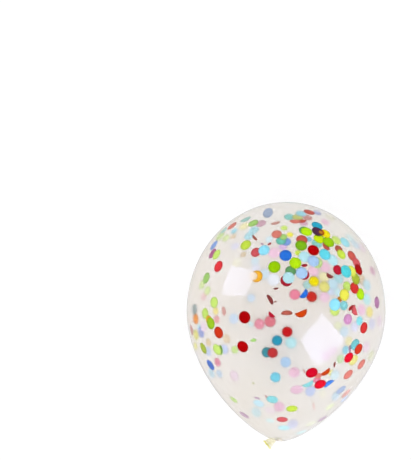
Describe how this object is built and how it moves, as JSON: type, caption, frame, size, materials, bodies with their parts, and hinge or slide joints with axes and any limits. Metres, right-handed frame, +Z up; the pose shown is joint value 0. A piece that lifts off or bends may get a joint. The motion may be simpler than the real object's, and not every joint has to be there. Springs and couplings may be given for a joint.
{
  "type": "confetti balloon",
  "caption": "Round clear latex party balloon, blown up, knotted and lying on its side, with paper confetti discs clinging inside.",
  "frame": {"origin": "centre of the flat spot that the balloon rests on", "axes": "+Z up, +Y along the balloon towards its crown, with the neck end drooping towards -Y, +X to the right when it is seen from above with the crown away"},
  "size_m": [0.28, 0.371, 0.2787],
  "materials": {
    "latex": "glossy",
    "latex_neck": "satin",
    "paper_red": "matte",
    "paper_orange": "matte",
    "paper_yellow": "matte",
    "paper_lime": "matte",
    "paper_green": "matte",
    "paper_teal": "matte",
    "paper_sky": "matte",
    "paper_blue": "matte",
    "paper_lilac": "matte",
    "paper_pink": "matte",
    "paper_purple": "matte"
  },
  "bodies": {
    "root": {"balloon": "latex"}
  },
  "joints": []
}
